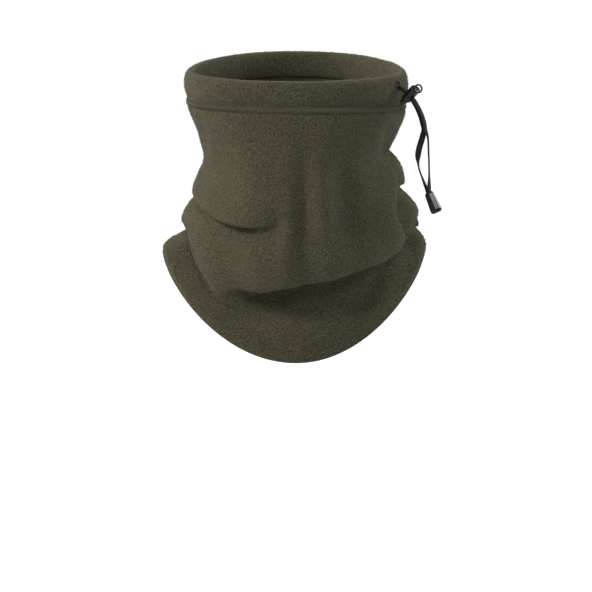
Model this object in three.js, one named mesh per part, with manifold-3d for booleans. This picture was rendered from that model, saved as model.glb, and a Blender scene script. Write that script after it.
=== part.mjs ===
// A fleece neck gaiter with a drawcord, as it sits on its wearer: the fleece is pulled down into soft
// rolls at the neck, the hem rests on the shoulders with a bib on the chest, and a sprung cord lock and a
// cord end hang beside the face opening.
// Millimetres, +Z up. The origin is the middle of the face opening, -Y is the wearer's front.

import * as THREE from 'three';
import { LoftGeometry } from 'three/addons/geometries/LoftGeometry.js';
import { mergeVertices } from 'three/addons/utils/BufferGeometryUtils.js';
import Module from 'manifold-3d';

const wasm = await Module();
wasm.setup();

// ---------------------------------------------------------------- driving dimensions

const gap = 0.3; // between pieces that touch
const around = 40; // facets round the gaiter

const fleece = { thickness: 2.4 };

// The face opening in plan: its reach from the origin each way, and how far forward its widest place lies.
const opening = { left: 83.5, right: 83.5, front: 88, back: 90, widestY: -25 };

const channel = {
  thickness: 9, // across the puffed casing
  wall: 2.2,
  foldDepth: 1.2, // the fleece is thicker where it folds over at the top and where it is sewn below
  height: 20, // at the side, from the top fold to the seam
  frontRise: 2, // the seam runs higher at the front
  rightDrop: 3.2, // and lower where the cord pulls it
  seamInset: 3.2, // the seam sits behind the casing's widest place
  seamGap: 0.6, // the fleece's edge leans, so its inner corner stands nearer the casing than its outer one
};

const needleLines = { first: 1.2, spacing: 4.6, thread: 0.7, looperThread: 0.5, gap: 0.45 };
const lowerNeedle = needleLines.first + needleLines.spacing;
const hem = { turnUp: 18, thread: 0.7, gap: 0.5 };
const sideSeam = { angle: THREE.MathUtils.degToRad(18), width: 3.2, thread: 0.6, gap: 0.5 };
const stitchedHole = { thread: 1.1, clear: 0.15 };

// The two tails of the drawcord leave the casing at one slit. They follow a round bend through the cord
// lock, then part, and meet again in the cord end.
const cord = { width: 4.6, thickness: 1.3, clearance: 0.4 };
const exit = { angle: THREE.MathUtils.degToRad(-24), height: -8, slitWidth: 6.4, slitHeight: 8 };
const bend = { centreOut: -21.5, centreZ: -46.5, radius: 44.6 };
const tails = {
  start: 59.2, // degrees round the bend, where the tails leave the slit
  part: 9, // where they part
  innerRoute: [[20.6, -46], [18, -54], [17, -61], [18, -69], [21.6, -77.5], [24.6, -83.8]], // out, up
  outerRoute: [[25.4, -46], [26.1, -55], [26.5, -64], [26.7, -73], [26.7, -80]],
};

const lock = {
  at: 45.7, // degrees round the bend
  travel: 30,
  mouth: -4.6, // along the barrel, from the cord's centre line
  closedEnd: 8.2,
  width: 10, // across the wearer's side
  depth: 7.6, // along the cord
  wall: 1.2,
  endWall: 1.3,
  edge: 1,
  ringRadius: 2.9,
  ringWire: 1.5,
  ringAside: 1.4, // along the cord, from the middle of the barrel
};
const plunger = { travel: 2.5, button: 1.1, bridge: 1.3, running: 0.15, edge: 0.8, grip: 0.7 };
const spring = { wire: 0.45, turns: 3, radius: 1.75 };

const cordEnd = {
  mouthAt: [26.3, -86.3],
  tilt: THREE.MathUtils.degToRad(27),
  length: 16.5,
  mouthRadius: 3.7,
  baseRadius: 4.7,
  flatness: 0.86,
  topEdge: 0.9,
  topEdgeDepth: 1.2,
  baseEdge: 1.6,
  baseEdgeHeight: 2.6,
  facets: 8,
  cavityRadius: 3.1,
  cavityTop: 4.5,
  cavityEdge: 1,
  floor: 2.2,
};
const knot = { radius: 2.65, height: 8.6 };

// ---------------------------------------------------------------- the draped outline

// The outer face of the fleece below the casing, as level rings from the casing's seam down to the hem.
// left, right, front and back are the ring's reach, widestY is where it is widest, and the z values are its
// heights at each side, because the rolls and the hem climb towards the shoulders.
function fleeceRings() {
  const inset = channel.seamInset;
  return [
    {
      left: opening.left - inset, right: opening.right - inset,
      front: opening.front - inset, back: opening.back - inset, widestY: opening.widestY,
      leftZ: seamHeight(Math.PI) - channel.seamGap,
      rightZ: seamHeight(0) - channel.seamGap,
      frontZ: seamHeight(-Math.PI / 2) - channel.seamGap,
      backZ: seamHeight(Math.PI / 2) - channel.seamGap,
    },
    { // the waist under the casing, where the neck is narrowest
      left: 78.5, right: 79.5, front: 90, back: 84, widestY: -20,
      leftZ: -34, rightZ: -39, frontZ: -35, backZ: -34,
    },
    {
      left: 70.5, right: 70.5, front: 93, back: 76, widestY: -12,
      leftZ: -56, rightZ: -57, frontZ: -62, backZ: -56,
    },
    {
      left: 70, right: 77, front: 92, back: 73, widestY: -8,
      leftZ: -73, rightZ: -69, frontZ: -88, backZ: -74,
    },
    { // the rolls, and the big one that hangs over the bib
      left: 75, right: 80, front: 91, back: 78, widestY: -8,
      leftZ: -90, rightZ: -86, frontZ: -112, backZ: -92,
    },
    {
      left: 77, right: 84, front: 91, back: 84, widestY: -8,
      leftZ: -99, rightZ: -95, frontZ: -133, backZ: -106,
    },
    {
      left: 84.5, right: 92.5, front: 88, back: 94, widestY: -8,
      leftZ: -110, rightZ: -107, frontZ: -149, backZ: -120,
    },
    {
      left: 84, right: 89, front: 75, back: 90, widestY: -10,
      leftZ: -120, rightZ: -119, frontZ: -158, backZ: -134,
    },
    { // the bib and the hem
      left: 97, right: 96, front: 74, back: 86, widestY: -12,
      leftZ: -129, rightZ: -127, frontZ: -182, backZ: -144,
    },
    {
      left: 100.5, right: 97.5, front: 80, back: 90, widestY: -12,
      leftZ: -140, rightZ: -139, frontZ: -213, backZ: -168,
    },
  ];
}

// How far below the top fold the casing's seam runs, all round.
function seamHeight(angle) {
  const front = Math.max(0, -Math.sin(angle));
  const right = Math.max(0, Math.cos(angle));
  return -(channel.height - channel.frontRise * front ** 2 + channel.rightDrop * right ** 2);
}

function planPoint(ring, angle) {
  const cos = Math.cos(angle);
  const sin = Math.sin(angle);
  const side = cos > 0 ? ring.right : ring.left;
  const reach = sin > 0 ? ring.back - ring.widestY : ring.front + ring.widestY;
  return new THREE.Vector2(side * cos, ring.widestY + reach * sin);
}

function ringPoint(ring, angle) {
  const plan = planPoint(ring, angle);
  const sideZ = Math.cos(angle) > 0 ? ring.rightZ : ring.leftZ;
  const endZ = Math.sin(angle) > 0 ? ring.backZ : ring.frontZ;
  const toEnd = Math.abs(Math.sin(angle)) ** 1.6;
  return new THREE.Vector3(plan.x, plan.y, sideZ + (endZ - sideZ) * toEnd);
}

// The outline down the gaiter at one angle, and the same line by distance below the seam.
const outlineCache = new Map();
function outline(angle) {
  const key = angle.toFixed(6);
  if (!outlineCache.has(key)) {
    const points = fleeceRings().map((ring) => ringPoint(ring, angle));
    outlineCache.set(key, new THREE.CatmullRomCurve3(points, false, 'catmullrom', 0.5));
  }
  return outlineCache.get(key);
}

// A point of the fleece's outer face, moved out along its normal. down is 0 at the seam and 1 at the hem.
function fleecePoint(angle, down, out) {
  const step = 0.01;
  const low = Math.max(0, down - step);
  const high = Math.min(1, down + step);
  const along = outline(angle).getPoint(high).sub(outline(angle).getPoint(low));
  const round = outline(angle + step).getPoint(down).sub(outline(angle - step).getPoint(down));
  const normal = along.cross(round).normalize();
  return outline(angle).getPoint(down).addScaledVector(normal, out);
}

function angles(count) {
  return Array.from({ length: count }, (_, i) => (i / count) * 2 * Math.PI);
}

function evenly(from, to, count) {
  return Array.from({ length: count + 1 }, (_, i) => from + ((to - from) * i) / count);
}

// ---------------------------------------------------------------- making solids

function finished(geometry) {
  const bare = new THREE.BufferGeometry();
  bare.setAttribute('position', geometry.getAttribute('position'));
  bare.setIndex(geometry.getIndex());
  const merged = mergeVertices(bare, 1e-4);
  merged.computeVertexNormals();
  return merged;
}

function toSolid(geometry, matrix = new THREE.Matrix4()) {
  const bare = finished(geometry).applyMatrix4(matrix);
  return new wasm.Manifold(new wasm.Mesh({
    numProp: 3,
    vertProperties: new Float32Array(bare.attributes.position.array),
    triVerts: new Uint32Array(bare.index.array),
  }));
}

function toGeometry(solid) {
  const mesh = solid.getMesh();
  const geometry = new THREE.BufferGeometry();
  geometry.setAttribute('position', new THREE.BufferAttribute(new Float32Array(mesh.vertProperties), 3));
  geometry.setIndex(new THREE.BufferAttribute(new Uint32Array(mesh.triVerts), 1));
  geometry.computeVertexNormals();
  return geometry;
}

// A closed band round the gaiter, from a list of level loops that goes up the outside and down the inside.
function bandGeometry(loops) {
  return finished(new LoftGeometry([...loops, loops[0]], { closed: true }));
}

function solidLoft(sections) {
  return finished(new LoftGeometry(sections, { closed: true, capStart: true, capEnd: true }));
}

// A layer that follows the fleece. inner and outer are distances out of its outer face, and each row is a
// function of the angle that says how far down the row lies.
function fleeceLayer(rows, inner, outer) {
  const loop = (row, out) => angles(around).map((angle) => fleecePoint(angle, row(angle), out));
  const down = rows.map((row) => loop(row, inner));
  const up = rows.map((row) => loop(row, outer)).reverse();
  return bandGeometry([...up, ...down]);
}

// The place down the fleece that lies a distance below the seam, or above the hem.
function belowSeam(distance) {
  return (angle) => outline(angle).getUtoTmapping(0, distance);
}

function aboveHem(distance) {
  return (angle) => outline(angle).getUtoTmapping(0, outline(angle).getLength() - distance);
}

function ovalPoints(width, height, count) {
  return angles(count).map((angle) => (
    new THREE.Vector2((width / 2) * Math.cos(angle), (height / 2) * Math.sin(angle))
  ));
}

function ovalShape(width, height, count) {
  return new THREE.Shape(ovalPoints(width, height, count));
}

function roundedShape(width, height, radius) {
  const x = width / 2;
  const y = height / 2;
  const shape = new THREE.Shape();
  shape.absarc(x - radius, y - radius, radius, 0, Math.PI / 2);
  shape.absarc(radius - x, y - radius, radius, Math.PI / 2, Math.PI);
  shape.absarc(radius - x, radius - y, radius, Math.PI, 1.5 * Math.PI);
  shape.absarc(x - radius, radius - y, radius, 1.5 * Math.PI, 2 * Math.PI);
  return shape;
}

// A flat cord along a route: eight sides, its width square to the plane of the route.
function cordGeometry(curve, steps) {
  const shape = ovalShape(cord.width, cord.thickness, 8);
  const along = { steps, extrudePath: curve, bevelEnabled: false };
  return finished(new THREE.ExtrudeGeometry(shape, along));
}

const materials = {
  fleece: new THREE.MeshStandardMaterial({ color: 0x4a4638, roughness: 0.95, metalness: 0 }),
  fleeceThread: new THREE.MeshStandardMaterial({ color: 0x403c30, roughness: 0.8, metalness: 0 }),
  cord: new THREE.MeshStandardMaterial({ color: 0x1f1f20, roughness: 0.7, metalness: 0 }),
  plastic: new THREE.MeshStandardMaterial({ color: 0x18181a, roughness: 0.3, metalness: 0 }),
  steel: new THREE.MeshStandardMaterial({ color: 0xb8bbc0, roughness: 0.3, metalness: 1 }),
};

function piece(name, geometry, material) {
  const mesh = new THREE.Mesh(geometry, material);
  mesh.name = name;
  return mesh;
}

// ---------------------------------------------------------------- sewn pieces

const bodyRows = evenly(0, 1, 17);

function fleeceBody() {
  return fleeceLayer(bodyRows.map((down) => () => down), -fleece.thickness, 0);
}

// The casing is a puffed tube of folded fleece, and the drawcord runs in its tunnel. This is the outside of
// the tube, or of the tunnel when it is inset by the wall.
function casingTube(inset, topInset, sides) {
  const loops = angles(sides).map((turn) => angles(around).map((angle) => {
    const depth = -seamHeight(angle);
    const puff = Math.sign(Math.cos(turn)) * Math.abs(Math.cos(turn)) ** 0.8;
    const radial = (channel.thickness / 2 - inset) * puff - channel.thickness / 2;
    const z = -depth / 2 + (depth / 2 - topInset) * Math.sin(turn);
    const plan = planPoint(opening, angle).addScaledVector(outward(angle), radial);
    return new THREE.Vector3(plan.x, plan.y, z);
  }));
  return bandGeometry(loops);
}

function outward(angle) {
  const step = 0.01;
  const along = planPoint(opening, angle + step).sub(planPoint(opening, angle - step));
  return new THREE.Vector2(along.y, -along.x).normalize();
}

function drawcordCasing() {
  const outside = toSolid(casingTube(0, 0, 12));
  const tunnel = toSolid(casingTube(channel.wall, channel.wall + channel.foldDepth, 8));
  const slit = new THREE.ExtrudeGeometry(ovalShape(exit.slitWidth, exit.slitHeight, 12), {
    depth: channel.thickness, bevelEnabled: false,
  });
  const place = new THREE.Matrix4()
    .multiply(exitFrame())
    .multiply(new THREE.Matrix4().makeTranslation(-channel.thickness / 2, 0, 0))
    .multiply(new THREE.Matrix4().makeRotationY(Math.PI / 2))
    .multiply(new THREE.Matrix4().makeRotationZ(Math.PI / 2));
  return toGeometry(outside.subtract(tunnel).subtract(toSolid(slit, place)));
}

// The place and direction of the slit: x points out of the casing, z up.
function exitFrame() {
  const plan = planPoint(opening, exit.angle);
  const out = outward(exit.angle);
  return new THREE.Matrix4()
    .makeTranslation(plan.x, plan.y, exit.height)
    .multiply(new THREE.Matrix4().makeRotationZ(Math.atan2(out.y, out.x)));
}

// The thread worked round the slit.
function buttonhole() {
  const half = stitchedHole.thread / 2;
  const rim = angles(18).map((turn) => angles(6).map((side) => {
    const grow = half + stitchedHole.clear + half * Math.cos(side);
    return new THREE.Vector3(
      gap + half + stitchedHole.clear - half * Math.sin(side),
      (exit.slitWidth / 2 + grow) * Math.cos(turn),
      (exit.slitHeight / 2 + grow) * Math.sin(turn),
    );
  }));
  return bandGeometry(rim).applyMatrix4(exitFrame());
}

// The hem's edge is turned up inside the fleece, and a thread holds its top.
function hemTurnUp() {
  const outer = -fleece.thickness - hem.gap;
  const rows = evenly(hem.turnUp, 1, 3).map(aboveHem);
  return fleeceLayer(rows, outer - fleece.thickness, outer);
}

function hemThread() {
  const outer = -fleece.thickness - hem.gap;
  const rows = [hem.turnUp + 1 + hem.thread, hem.turnUp + 1].map(aboveHem);
  return fleeceLayer(rows, outer - hem.thread, outer);
}

// Two needle lines run round under the casing, and the looper's ladder of thread fills the space between.
function needleThread(below) {
  const rows = [below, below + needleLines.thread].map(belowSeam);
  return fleeceLayer(rows, needleLines.gap, needleLines.gap + needleLines.thread);
}

function looperThread() {
  const start = needleLines.first + needleLines.thread + gap;
  const rows = [start, lowerNeedle - gap].map(belowSeam);
  return fleeceLayer(rows, needleLines.gap, needleLines.gap + needleLines.looperThread);
}

// The seam that closes the tube, sewn flat on the outside behind the slit.
function sideSeamThread() {
  const half = sideSeam.width / 2;
  const low = sideSeam.gap;
  const high = sideSeam.gap + sideSeam.thread;
  const sections = bodyRows.slice(1, -3).map((down) => {
    const middle = fleecePoint(sideSeam.angle, down, 0);
    const out = fleecePoint(sideSeam.angle, down, 1).sub(middle);
    const across = new THREE.Vector3(-out.y, out.x, 0).normalize();
    const at = (side, height) => middle.clone().addScaledVector(across, side).addScaledVector(out, height);
    return [at(-half, low), at(half, low), at(half, high), at(-half, high)];
  });
  return solidLoft(sections);
}

// ---------------------------------------------------------------- the drawcord

// The drawcord lies on edge in the casing's tunnel all the way round, and both ends turn out at the slit.
function drawcordLoop() {
  const turn = [
    { past: 1.1, out: 0.2 }, { past: 1.2, out: -1.2 }, { past: 1.7, out: -2.6 }, { past: 2.6, out: -3.7 },
    { past: 4.2, out: -4.4 },
  ];
  const at = (past, out) => {
    const angle = exit.angle + THREE.MathUtils.degToRad(past);
    const plan = planPoint(opening, angle).addScaledVector(outward(angle), out);
    return new THREE.Vector3(plan.x, plan.y, exit.height);
  };
  const leaving = turn.map((t) => at(t.past, t.out));
  const round = evenly(8, 352, 38).map((past) => at(past, -channel.thickness / 2));
  const arriving = turn.map((t) => at(-t.past, t.out)).reverse();
  const route = [...leaving, ...round, ...arriving];
  const sections = route.map((point, i) => {
    const ahead = route[Math.min(i + 1, route.length - 1)];
    const behind = route[Math.max(i - 1, 0)];
    const along = ahead.clone().sub(behind).normalize();
    const aside = new THREE.Vector3(-along.y, along.x, 0);
    return ovalPoints(cord.thickness, cord.width, 8)
      .map((p) => point.clone().addScaledVector(aside, p.x).setZ(point.z + p.y));
  });
  return solidLoft(sections);
}

// A point of the bend, degrees up from level, in the plane of the tassel: x out of the casing, z up.
function bendPoint(degreesRound, aside) {
  const turn = THREE.MathUtils.degToRad(degreesRound);
  const radius = bend.radius + aside;
  const out = bend.centreOut + radius * Math.cos(turn);
  return new THREE.Vector3(out, 0, bend.centreZ + radius * Math.sin(turn));
}

// A tail follows the bend, then its own route, then runs down through the cord end's mouth to the knot.
function tail(side, route) {
  const aside = (side * (cord.thickness + gap)) / 2;
  const round = evenly(tails.start, tails.part, 9).map((d) => bendPoint(d, aside));
  const free = route.map(([x, z]) => new THREE.Vector3(x, 0, z));
  const mouth = [0, 2.4, cordEnd.cavityTop - 0.2].map((depth) => (
    new THREE.Vector3(aside, 0, -depth).applyMatrix4(cordEndFrame())
  ));
  return cordGeometry(new THREE.CatmullRomCurve3([...round, ...free, ...mouth]), 27);
}

function cordEndFrame() {
  const [x, z] = cordEnd.mouthAt;
  return new THREE.Matrix4()
    .makeTranslation(x, 0, z)
    .multiply(new THREE.Matrix4().makeRotationY(-cordEnd.tilt));
}

// ---------------------------------------------------------------- the cord lock

// In the lock's own frame x runs along the cord, y across it, and z along the barrel to its closed end.
const bothTails = 2 * cord.thickness + gap;
const bore = { width: cord.width + 2 * cord.clearance, height: bothTails + 2 * cord.clearance };
const plungerHoleTop = bore.height / 2 - 0.1;
const plungerHole = {
  top: plungerHoleTop,
  bottom: plungerHoleTop - bothTails - plunger.grip - plunger.travel,
};
const plungerEnd = plungerHole.top + plunger.bridge;
const plungerStem = {
  width: lock.width - 2 * lock.wall - 2 * plunger.running,
  depth: lock.depth - 2 * lock.wall - 2 * plunger.running,
};
const springSeat = lock.closedEnd - lock.endWall;

function alongBarrel(shape, from, to, edge = 0, edgeSteps = 2) {
  const geometry = new THREE.ExtrudeGeometry(shape, {
    depth: to - from - 2 * edge,
    bevelEnabled: edge > 0,
    bevelThickness: edge,
    bevelSize: edge,
    bevelOffset: -edge,
    bevelSegments: edgeSteps,
  });
  return geometry.translate(0, 0, from + edge);
}

function throughCord(width, from, to, radius) {
  const shape = roundedShape(to - from, width, radius);
  const length = lock.depth + 4;
  return new THREE.ExtrudeGeometry(shape, { depth: length, bevelEnabled: false, curveSegments: 4 })
    .translate(0, 0, -length / 2)
    .rotateY(Math.PI / 2)
    .translate(0, 0, (from + to) / 2);
}

function lockBarrel() {
  const outer = ovalShape(lock.depth, lock.width, 24);
  const inner = ovalShape(lock.depth - 2 * lock.wall, lock.width - 2 * lock.wall, 20);
  const outside = alongBarrel(outer, lock.mouth, lock.closedEnd, lock.edge);
  const inside = alongBarrel(inner, lock.mouth - 1, springSeat);
  const ring = new THREE.TorusGeometry(lock.ringRadius, lock.ringWire / 2, 6, 20)
    .rotateX(Math.PI / 2)
    .translate(lock.ringAside, 0, lock.closedEnd + lock.ringRadius - 1.6);
  return toGeometry(toSolid(outside)
    .add(toSolid(ring))
    .subtract(toSolid(inside))
    .subtract(toSolid(throughCord(bore.width, -bore.height / 2, bore.height / 2, 1))));
}

function lockPlunger() {
  const start = lock.mouth - plunger.travel - plunger.button;
  const section = ovalShape(plungerStem.depth, plungerStem.width, 24);
  const stem = alongBarrel(section, start, plungerEnd, plunger.edge);
  const hole = throughCord(bore.width, plungerHole.bottom, plungerHole.top, plunger.edge);
  return toGeometry(toSolid(stem).subtract(toSolid(hole)));
}

class SpringCurve extends THREE.Curve {
  getPoint(t, target = new THREE.Vector3()) {
    const turn = t * spring.turns * 2 * Math.PI;
    const low = plungerEnd + gap + spring.wire / 2;
    const high = springSeat - gap - spring.wire / 2;
    return target.set(
      spring.radius * Math.cos(turn), spring.radius * Math.sin(turn), low + (high - low) * t,
    );
  }
}

function lockSpring() {
  const shape = ovalShape(spring.wire, spring.wire, 6);
  return finished(new THREE.ExtrudeGeometry(shape, {
    steps: 12 * spring.turns, extrudePath: new SpringCurve(), bevelEnabled: false,
  }));
}

// ---------------------------------------------------------------- the cord end

function profile(points) {
  return points.map(([radius, z]) => new THREE.Vector2(radius, z));
}

// In the cord end's own frame z runs up to its mouth, at the origin.
function cordEndShell() {
  const { length, mouthRadius, baseRadius, topEdge, topEdgeDepth, baseEdge, baseEdgeHeight } = cordEnd;
  const { cavityRadius, cavityTop, cavityEdge, facets } = cordEnd;
  const cavityFloor = cordEnd.floor - length;
  const outer = profile([
    [0, -length],
    [baseRadius - baseEdge, -length],
    [baseRadius - 0.2 * baseEdge, 0.4 * baseEdgeHeight - length],
    [baseRadius, baseEdgeHeight - length],
    [mouthRadius, -topEdgeDepth],
    [mouthRadius - topEdge, 0],
    [0, 0],
  ]);
  const hollow = profile([
    [0, cavityFloor], [cavityRadius - cavityEdge, cavityFloor], [cavityRadius, cavityFloor + cavityEdge],
    [cavityRadius, -cavityTop - cavityEdge], [cavityRadius - cavityEdge, -cavityTop], [0, -cavityTop],
  ]);
  const mouthShape = roundedShape(bore.height + cord.clearance, bore.width, 1);
  const mouth = alongBarrel(mouthShape, -cavityTop - cavityEdge, 1);
  const shell = new THREE.LatheGeometry(outer, facets)
    .rotateX(Math.PI / 2)
    .rotateZ(Math.PI / facets)
    .scale(1, cordEnd.flatness, 1);
  const cavity = new THREE.LatheGeometry(hollow, 14).rotateX(Math.PI / 2);
  return toGeometry(toSolid(shell).subtract(toSolid(cavity)).subtract(toSolid(mouth)));
}

function cordKnot() {
  const middle = -(cordEnd.cavityTop + cordEnd.length - cordEnd.floor) / 2;
  return finished(new THREE.SphereGeometry(knot.radius, 12, 8))
    .rotateX(Math.PI / 2)
    .scale(1, 1, knot.height / 2 / knot.radius)
    .translate(0, 0, middle);
}

// ---------------------------------------------------------------- assembly

const gaiter = new THREE.Group();
gaiter.add(
  piece('fleece_body', fleeceBody(), materials.fleece),
  piece('drawcord_casing', drawcordCasing(), materials.fleece),
  piece('hem_turn_up', hemTurnUp(), materials.fleece),
  piece('hem_thread', hemThread(), materials.fleeceThread),
  piece('needle_thread_upper', needleThread(needleLines.first), materials.fleeceThread),
  piece('needle_thread_lower', needleThread(lowerNeedle), materials.fleeceThread),
  piece('looper_thread', looperThread(), materials.fleeceThread),
  piece('side_seam_thread', sideSeamThread(), materials.fleeceThread),
  piece('slit_buttonhole', buttonhole(), materials.fleeceThread),
  piece('drawcord_loop', drawcordLoop(), materials.cord),
);

const tassel = new THREE.Group();
tassel.position.setFromMatrixPosition(exitFrame()).setZ(0);
tassel.rotation.setFromRotationMatrix(exitFrame());
tassel.add(
  piece('cord_tail_inner', tail(-1, tails.innerRoute), materials.cord),
  piece('cord_tail_outer', tail(1, tails.outerRoute), materials.cord),
);
gaiter.add(tassel);

const cordLock = new THREE.Group();
cordLock.position.copy(bendPoint(lock.at, 0));
cordLock.rotation.y = Math.PI / 2 - THREE.MathUtils.degToRad(lock.at);
cordLock.add(
  piece('cord_lock_barrel', lockBarrel(), materials.plastic),
  piece('cord_lock_plunger', lockPlunger(), materials.plastic),
  piece('cord_lock_spring', lockSpring(), materials.steel),
);
tassel.add(cordLock);

const cordEndGroup = new THREE.Group();
cordEndGroup.position.setFromMatrixPosition(cordEndFrame());
cordEndGroup.rotation.y = -cordEnd.tilt;
cordEndGroup.add(
  piece('cord_end_shell', cordEndShell(), materials.plastic),
  piece('cord_end_knot', cordKnot(), materials.cord),
);
tassel.add(cordEndGroup);

export default gaiter;
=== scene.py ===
import math

import bmesh
import bpy
import numpy as np
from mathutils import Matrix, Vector, noise


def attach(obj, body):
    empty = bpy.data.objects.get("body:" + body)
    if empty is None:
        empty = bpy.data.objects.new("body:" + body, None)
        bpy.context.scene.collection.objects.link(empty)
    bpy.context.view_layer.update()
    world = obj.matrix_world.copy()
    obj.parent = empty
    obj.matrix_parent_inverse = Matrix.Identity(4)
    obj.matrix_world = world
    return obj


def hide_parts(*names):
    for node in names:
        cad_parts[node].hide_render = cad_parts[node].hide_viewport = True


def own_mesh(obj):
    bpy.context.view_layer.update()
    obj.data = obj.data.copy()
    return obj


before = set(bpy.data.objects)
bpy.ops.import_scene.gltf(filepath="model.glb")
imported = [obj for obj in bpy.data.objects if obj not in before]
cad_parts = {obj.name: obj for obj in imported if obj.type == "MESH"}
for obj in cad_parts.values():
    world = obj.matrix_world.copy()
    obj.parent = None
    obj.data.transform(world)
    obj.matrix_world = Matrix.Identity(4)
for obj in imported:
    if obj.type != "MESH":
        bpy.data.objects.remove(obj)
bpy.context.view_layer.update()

# A fleece neck gaiter with a drawcord. Lengths in the dictionaries are millimetres, the scene is in metres.
# +X is the wearer's left, -Y the front, +Z up, and the origin is the middle of the face opening.

mm = 0.001
frontAngle = -90  # angles round the gaiter are degrees from +X, so the front is -90 and the back 90

viewpoint = {
    "elevation": 8.5, "over": (0, -10, -60), "lookAt": (0, -10, -174), "lens": 400, "sensor": 36,
    "width": 446,  # how much is seen across, at the gaiter
    "clip": (0.1, 30),  # metres
}


def addObject(name, data):
    made = bpy.data.objects.new(name, data)
    bpy.context.scene.collection.objects.link(made)
    return made


def pointAt(thing, place, aim):
    thing.location = place
    thing.rotation_mode = "QUATERNION"
    thing.rotation_quaternion = (Vector(aim) - Vector(place)).to_track_quat("-Z", "Y")


def makeCamera():
    distance = viewpoint["width"] * viewpoint["lens"] / viewpoint["sensor"] * mm
    lean = math.radians(viewpoint["elevation"])
    back = Vector((0, -math.cos(lean), math.sin(lean)))
    data = bpy.data.cameras.new("camera")
    data.lens = viewpoint["lens"]
    data.sensor_width = viewpoint["sensor"]
    data.clip_start, data.clip_end = viewpoint["clip"]
    camera = addObject("camera", data)
    pointAt(camera, Vector(viewpoint["over"]) * mm + back * distance, Vector(viewpoint["lookAt"]) * mm)
    bpy.context.scene.camera = camera


lamps = [
    # name, place, aimed at, size, watts, all in metres
    ("keyLight", (-1.5, -0.9, 1.25), (0, 0, -0.1), 0.6, 60),
    ("fillLight", (0.3, -1.8, 1.1), (0, 0, -0.1), 0.7, 24),
    ("leftRim", (-1.2, 0.5, 0.5), (0, 0, -0.06), 0.8, 15),
    ("rightRim", (1.2, 0.5, 0.5), (0, 0, -0.08), 0.8, 18),
    ("topLight", (0, 0.3, 1.4), (0, 0, -0.1), 0.9, 14),
]
ambient = 0.2  # how strong the even light from all round is


def makeLight():
    for name, place, aim, size, watts in lamps:
        data = bpy.data.lights.new(name, "AREA")
        data.energy = watts
        data.size = size
        pointAt(addObject(name, data), place, aim)
    world = bpy.data.worlds.new("studio")
    world.use_nodes = True
    background = world.node_tree.nodes["Background"].inputs
    background["Color"].default_value = (1, 1, 1, 1)
    background["Strength"].default_value = ambient
    bpy.context.scene.world = world
    bpy.context.scene.view_settings.view_transform = "Standard"


class Wire:  # the output of a node, on which sums add Math nodes
    def __init__(self, finish, socket):
        self.finish = finish
        self.socket = socket

    def math(self, operation, first, second):
        return self.finish.node("ShaderNodeMath", {"operation": operation}, {0: first, 1: second})

    def __add__(self, other):
        return self.math("ADD", self, other)

    def __radd__(self, other):
        return self.math("ADD", other, self)

    def __sub__(self, other):
        return self.math("SUBTRACT", self, other)

    def __rsub__(self, other):
        return self.math("SUBTRACT", other, self)

    def __mul__(self, other):
        return self.math("MULTIPLY", self, other)

    def __rmul__(self, other):
        return self.math("MULTIPLY", other, self)


class Finish:  # a material while it is being made
    def __init__(self, name, colour, **fixed):
        self.material = bpy.data.materials.new(name)
        self.material.use_nodes = True
        self.tree = self.material.node_tree
        self.shader = self.tree.nodes["Principled BSDF"]
        self.material.diffuse_color = (*colour, 1)
        self.feed(self.shader, {"Base Color": (*colour, 1), **fixed})

    def feed(self, node, sockets):
        for key, value in sockets.items():
            if isinstance(value, Wire):
                self.tree.links.new(value.socket, node.inputs[key])
            elif isinstance(value, tuple) and len(value) == 3 and node.inputs[key].type == "RGBA":
                node.inputs[key].default_value = (*value, 1)
            else:
                node.inputs[key].default_value = value

    def node(self, kind, settings=None, sockets=None, output=0):
        made = self.tree.nodes.new(kind)
        for key, value in (settings or {}).items():
            if key == "stops":
                while len(made.color_ramp.elements) < len(value):
                    made.color_ramp.elements.new(1)
                for element, (at, grey) in zip(made.color_ramp.elements, value):
                    element.position = at
                    element.color = (grey, grey, grey, 1)
            else:
                setattr(made, key, value)
        self.feed(made, sockets or {})
        return Wire(self, made.outputs[output])

    def place(self):
        return self.node("ShaderNodeTexCoord", output="Object")

    def noise(self, coords, scale, detail=2.0, roughness=0.5):
        sockets = {"Vector": coords, "Scale": scale, "Detail": detail, "Roughness": roughness}
        return self.node("ShaderNodeTexNoise", sockets=sockets)

    def ramp(self, factor, stops):
        return self.node("ShaderNodeValToRGB", {"stops": stops}, {"Fac": factor})

    def mix(self, factor, first, second):
        sockets = {"Factor": factor, 6: first, 7: second}
        return self.node("ShaderNodeMix", {"data_type": "RGBA"}, sockets, 2)

    def done(self, height=None, strength=1.0, distance=0.0005, **sockets):
        named = {key.replace("_", " "): value for key, value in sockets.items()}
        if height is not None:
            bump = {"Height": height, "Strength": strength, "Distance": distance}
            named["Normal"] = self.node("ShaderNodeBump", sockets=bump)
        self.feed(self.shader, named)
        return self.material


def mixColour(share, first, second):
    return tuple(a + (b - a) * share for a, b in zip(first, second))


# In the looks, sizes such as tuft and patch are millimetres across, and bumps are millimetres deep.
fleeceLook = {
    # dark is painted shade: the colour of the gaps between the tuft clumps, where the bump is low; light and
    # tips are the fleece's own colour
    "light": (0.067, 0.0605, 0.0355), "dark": (0.0085, 0.0077, 0.0042), "tips": (0.064, 0.0575, 0.034),
    "tuft": 0.9,  # of the brushed pile
    "fibre": 0.32,
    "patch": 38,  # the soft patches where the pile lies another way
    "patchShare": 0.16, "patchLight": 0.3, "sheenTint": (0.62, 0.58, 0.4, 1),
    "edges": [(0.4, 0.0), (0.6, 1.0)],  # how sharply the tuft clumps stand out from the painted shade in the gaps
    "bump": 1.8, "tipBump": 0.3,
}


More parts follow.
